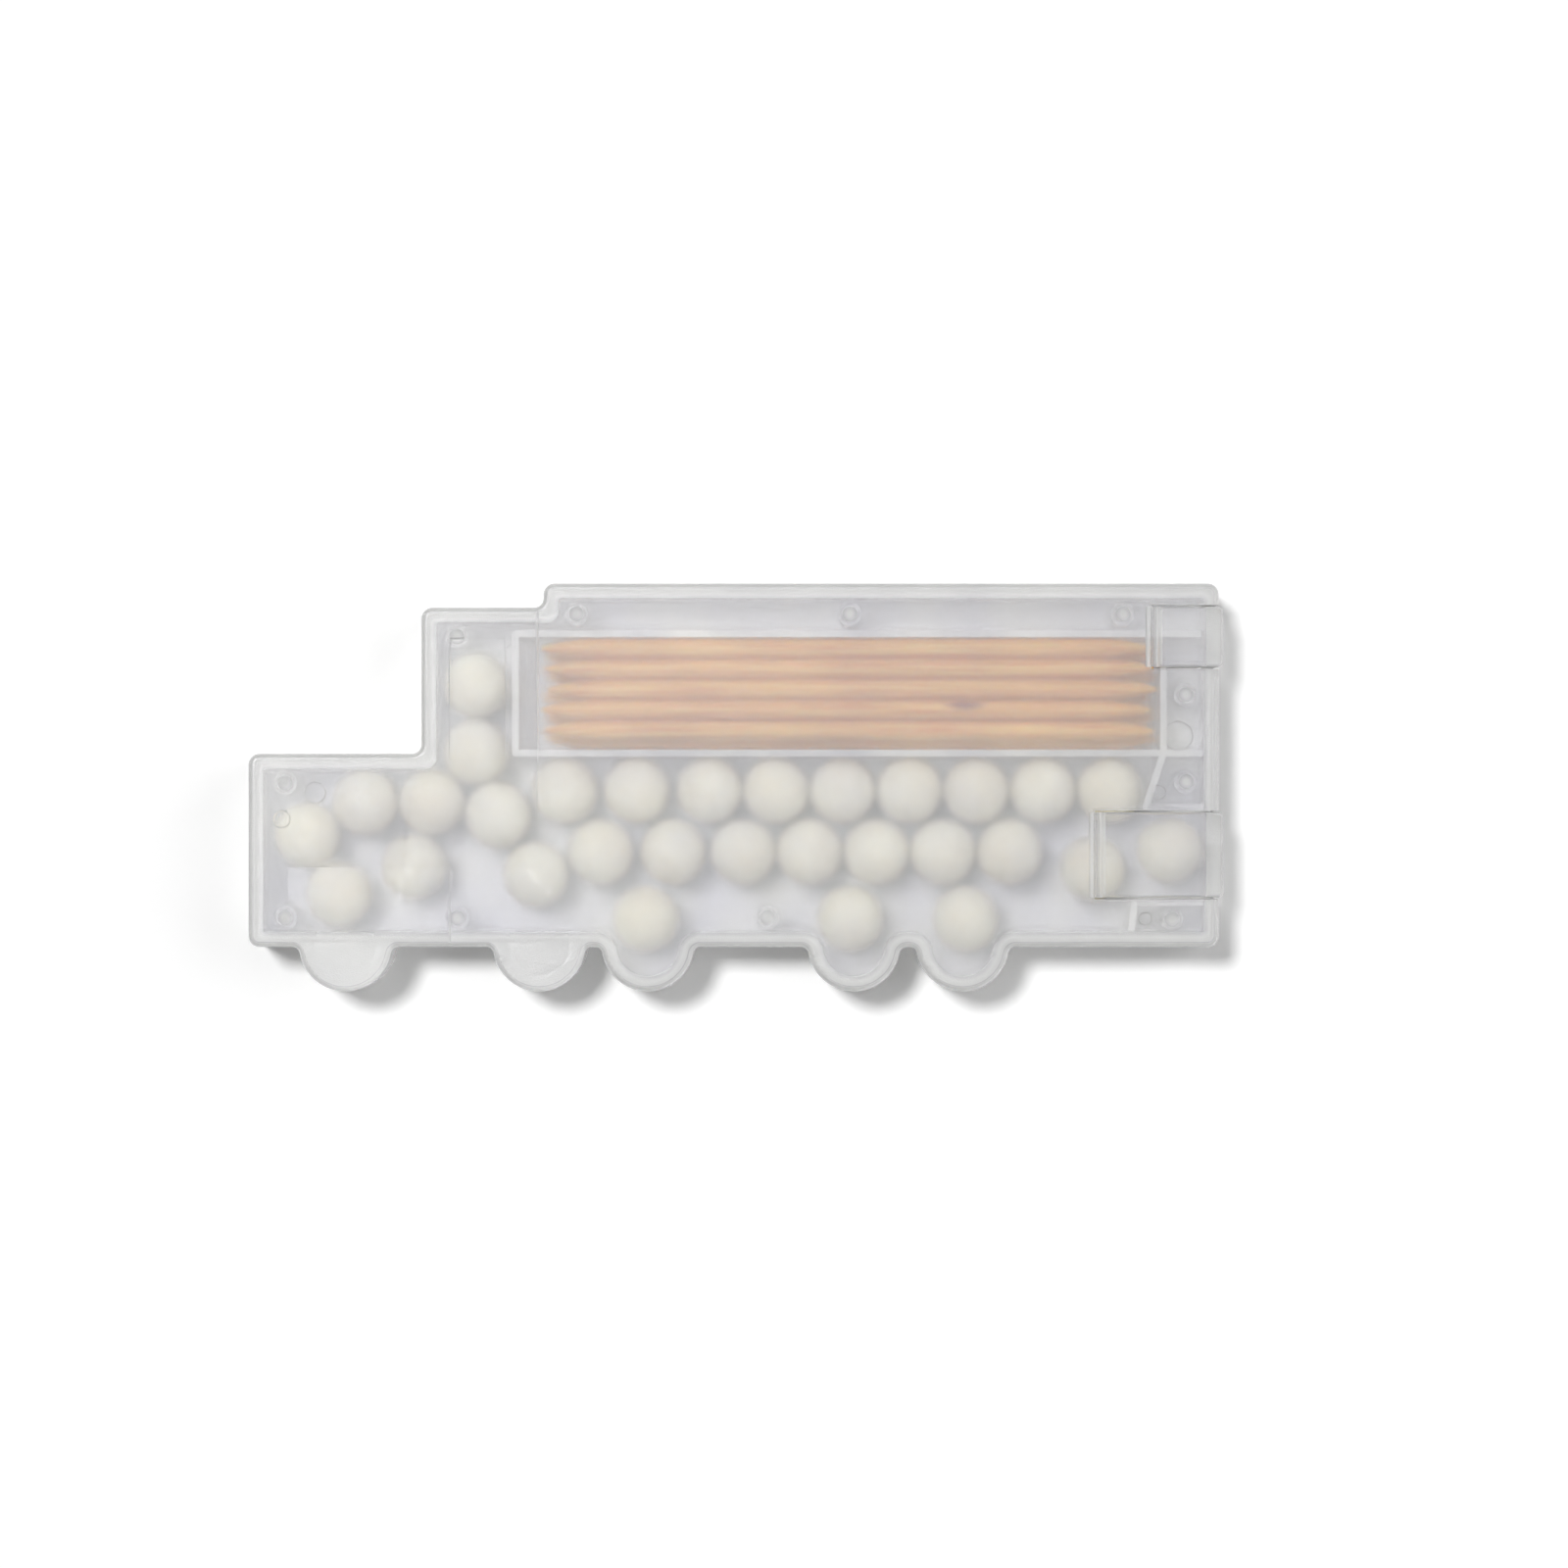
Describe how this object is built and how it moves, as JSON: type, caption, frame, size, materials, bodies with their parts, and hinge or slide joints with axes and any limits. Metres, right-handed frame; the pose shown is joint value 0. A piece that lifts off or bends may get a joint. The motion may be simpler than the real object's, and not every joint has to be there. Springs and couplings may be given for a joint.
{
  "type": "mint and toothpick dispenser",
  "caption": "Flat pocket case of frosted plastic with a truck outline, holding loose round mints and toothpicks, with flip lids on living hinges at its tail.",
  "frame": {"origin": "under the middle of the case, on the plane of its back skin", "axes": "+X from the truck's nose to its tail, +Y from its wheels to its roof, +Z out of the front face"},
  "size_m": [0.1036, 0.0434, 0.0101],
  "materials": {
    "frosted_polypropylene": "frosted translucent moulding",
    "pressed_mint": "chalky pressed sugar",
    "birch_wood": "turned birch, bare"
  },
  "bodies": {
    "case": {"rear_shell": "frosted_polypropylene", "front_cover": "frosted_polypropylene", "toothpick_lid_hinge": "frosted_polypropylene", "mint_lid_hinge": "frosted_polypropylene", "mint_01": "pressed_mint", "mint_02": "pressed_mint", "mint_03": "pressed_mint", "mint_04": "pressed_mint", "mint_05": "pressed_mint", "mint_06": "pressed_mint", "mint_07": "pressed_mint", "mint_08": "pressed_mint", "mint_09": "pressed_mint", "mint_10": "pressed_mint", "mint_11": "pressed_mint", "mint_12": "pressed_mint", "mint_13": "pressed_mint", "mint_14": "pressed_mint", "mint_15": "pressed_mint", "mint_16": "pressed_mint", "mint_17": "pressed_mint", "mint_18": "pressed_mint", "mint_19": "pressed_mint", "mint_20": "pressed_mint", "mint_21": "pressed_mint", "mint_22": "pressed_mint", "mint_23": "pressed_mint", "mint_24": "pressed_mint", "mint_25": "pressed_mint", "mint_26": "pressed_mint", "mint_27": "pressed_mint", "mint_28": "pressed_mint", "mint_29": "pressed_mint", "mint_30": "pressed_mint", "toothpick_01": "birch_wood", "toothpick_02": "birch_wood", "toothpick_03": "birch_wood", "toothpick_04": "birch_wood", "toothpick_05": "birch_wood", "toothpick_06": "birch_wood", "toothpick_07": "birch_wood", "toothpick_08": "birch_wood", "toothpick_09": "birch_wood", "toothpick_10": "birch_wood", "toothpick_11": "birch_wood", "toothpick_12": "birch_wood", "toothpick_13": "birch_wood", "toothpick_14": "birch_wood", "toothpick_15": "birch_wood"},
    "toothpick_lid": {"toothpick_lid": "frosted_polypropylene"},
    "mint_lid": {"mint_lid": "frosted_polypropylene"}
  },
  "joints": [
    {"name": "toothpick_lid_flip", "type": "hinge", "parent": "case", "child": "toothpick_lid", "pos_m": [0.04435, 0.01601, 0.01], "axis": [0, -1, 0], "range_deg": [0, 130], "deforming": ["toothpick_lid_hinge"]},
    {"name": "mint_lid_flip", "type": "hinge", "parent": "case", "child": "mint_lid", "pos_m": [0.0383, -0.00719, 0.01], "axis": [0, -1, 0], "range_deg": [0, 130], "deforming": ["mint_lid_hinge"]}
  ]
}
